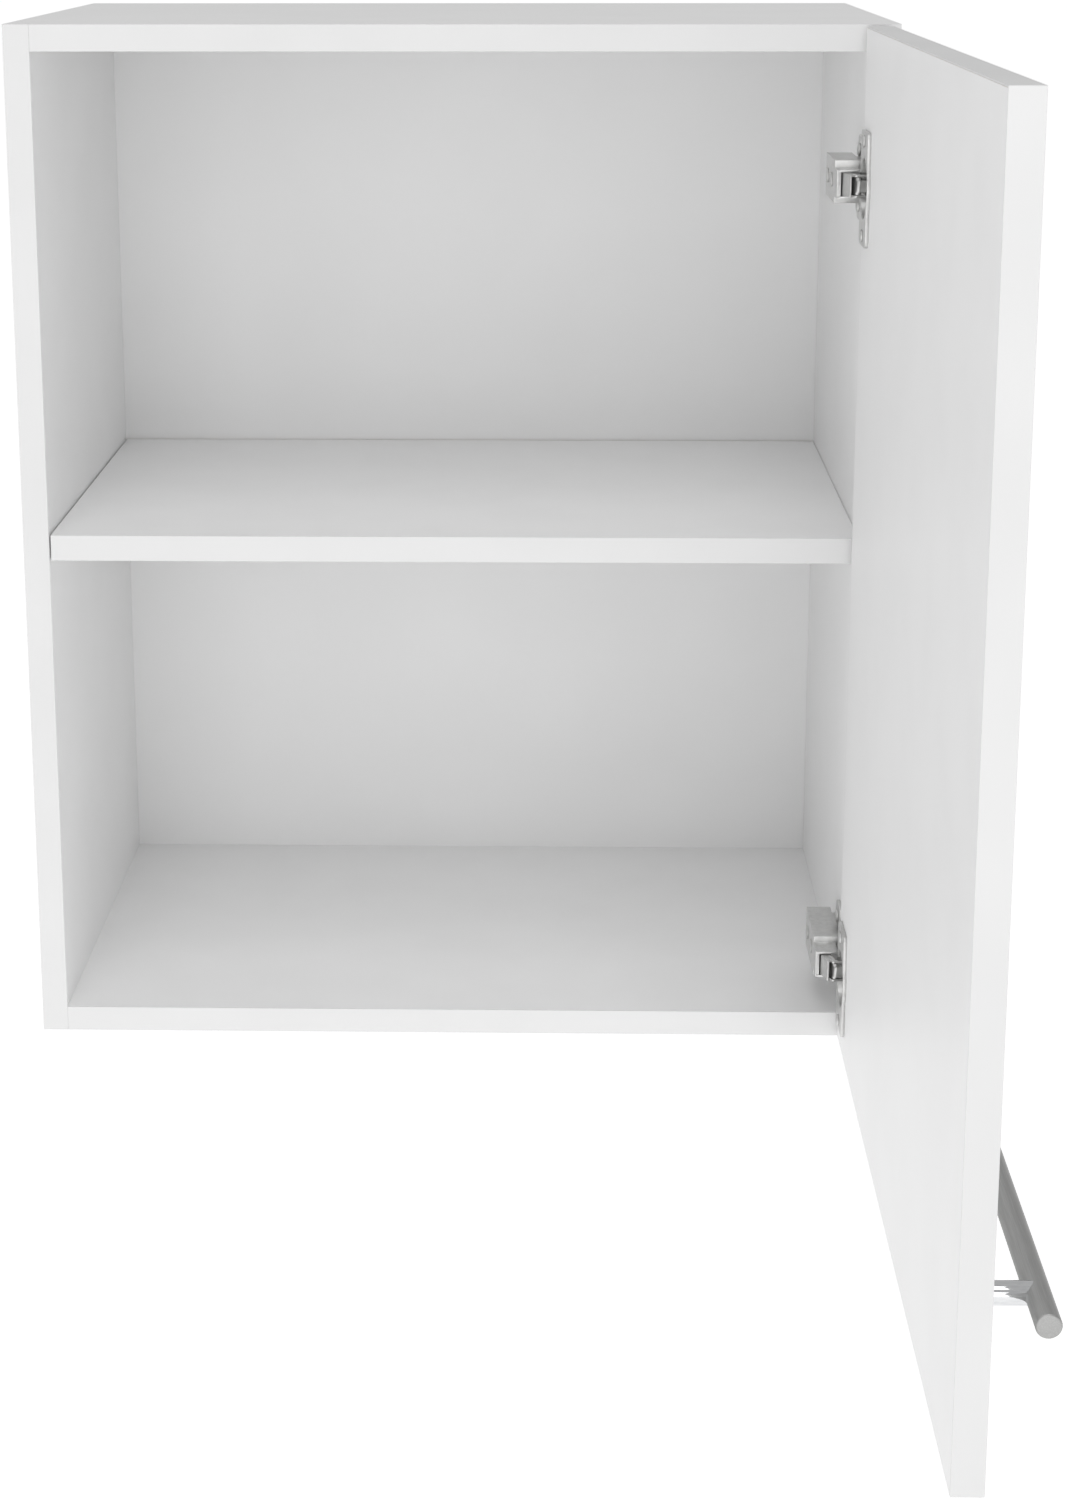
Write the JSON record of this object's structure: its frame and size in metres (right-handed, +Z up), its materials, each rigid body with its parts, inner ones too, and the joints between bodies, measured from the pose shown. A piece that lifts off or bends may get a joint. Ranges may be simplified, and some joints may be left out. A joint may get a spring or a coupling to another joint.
{
  "type": "hanging wall cabinet",
  "caption": "White hanging wall cabinet with a shelf and a door on concealed hinges, opened by a steel bar handle.",
  "frame": {"origin": "in the wall plane, midway between the two keyholes the cabinet hangs from", "axes": "+X to the right of someone facing the cabinet, +Y into the wall, +Z up; the open door points towards -Y"},
  "size_m": [0.5313, 0.814, 0.6],
  "materials": {
    "white_board": "white melamine coating, satin, lightly textured",
    "white_backboard": "white coated thin board, matt",
    "edge_band": "white plastic edge band, satin",
    "white_plastic": "moulded white plastic, satin",
    "zinc_steel": "bright zinc plated steel",
    "nickel_steel": "nickel plated pressed steel, bright",
    "satin_steel": "fine brushed stainless steel",
    "beech": "plain beech"
  },
  "bodies": {
    "cabinet": {"side_panel_left": "white_board", "side_panel_right": "white_board", "top_panel": "white_board", "bottom_panel": "white_board", "shelf": "white_board", "back_panel": "white_backboard", "hanging_rail_upper": "white_board", "hanging_rail_lower": "white_board", "carcass_edge_bands": "edge_band", "shelf_edge_band": "edge_band", "hanger_plates": "zinc_steel", "hanger_plate_screws": "zinc_steel", "carcass_screws": "zinc_steel", "screw_caps": "white_plastic", "carcass_dowels": "beech", "shelf_pins": "nickel_steel", "arm_pins": "nickel_steel", "arm_screws": "nickel_steel", "mounting_plate_screws": "nickel_steel", "hinge_arm_upper": "nickel_steel", "hinge_arm_lower": "nickel_steel", "hinge_mounting_plate_upper": "nickel_steel", "hinge_mounting_plate_lower": "nickel_steel"},
    "door": {"door_panel": "white_board", "door_edge_bands": "edge_band", "cup_pins": "nickel_steel", "cup_screws": "nickel_steel", "hinge_cup_upper": "nickel_steel", "hinge_cup_lower": "nickel_steel", "handle_bar": "satin_steel", "handle_posts": "satin_steel", "handle_studs": "zinc_steel"},
    "outer_link_upper": {"outer_link_upper": "nickel_steel"},
    "outer_link_lower": {"outer_link_lower": "nickel_steel"},
    "inner_link_upper": {"inner_link_upper": "nickel_steel"},
    "inner_link_lower": {"inner_link_lower": "nickel_steel"}
  },
  "joints": [
    {"name": "outer_link_upper_turn", "type": "hinge", "parent": "cabinet", "child": "outer_link_upper", "pos_m": [0.22081, -0.31083, -0.038], "axis": [0, 0, 1], "range_deg": [-2.9, 25.3]},
    {"name": "door_turn", "type": "hinge", "parent": "outer_link_upper", "child": "door", "pos_m": [0.23297, -0.32721, -0.038], "axis": [0, 0, 1], "range_deg": [-115.2, 12.8]},
    {"name": "outer_link_lower_turn", "type": "hinge", "parent": "cabinet", "child": "outer_link_lower", "pos_m": [0.22081, -0.31083, -0.503], "axis": [0, 0, 1], "range_deg": [-2.9, 25.3]},
    {"name": "inner_link_upper_turn", "type": "hinge", "parent": "cabinet", "child": "inner_link_upper", "pos_m": [0.22238, -0.31531, -0.038], "axis": [0, 0, 1], "range_deg": [-1.3, 11.4]},
    {"name": "inner_link_lower_turn", "type": "hinge", "parent": "cabinet", "child": "inner_link_lower", "pos_m": [0.22238, -0.31531, -0.503], "axis": [0, 0, 1], "range_deg": [-1.3, 11.4]}
  ],
  "couplings": [
    {"joint": "outer_link_upper_turn", "follows": "door_turn", "ratio": -0.21894},
    {"joint": "outer_link_lower_turn", "follows": "door_turn", "ratio": -0.21894},
    {"joint": "inner_link_upper_turn", "follows": "door_turn", "ratio": -0.098269},
    {"joint": "inner_link_lower_turn", "follows": "door_turn", "ratio": -0.098269}
  ]
}
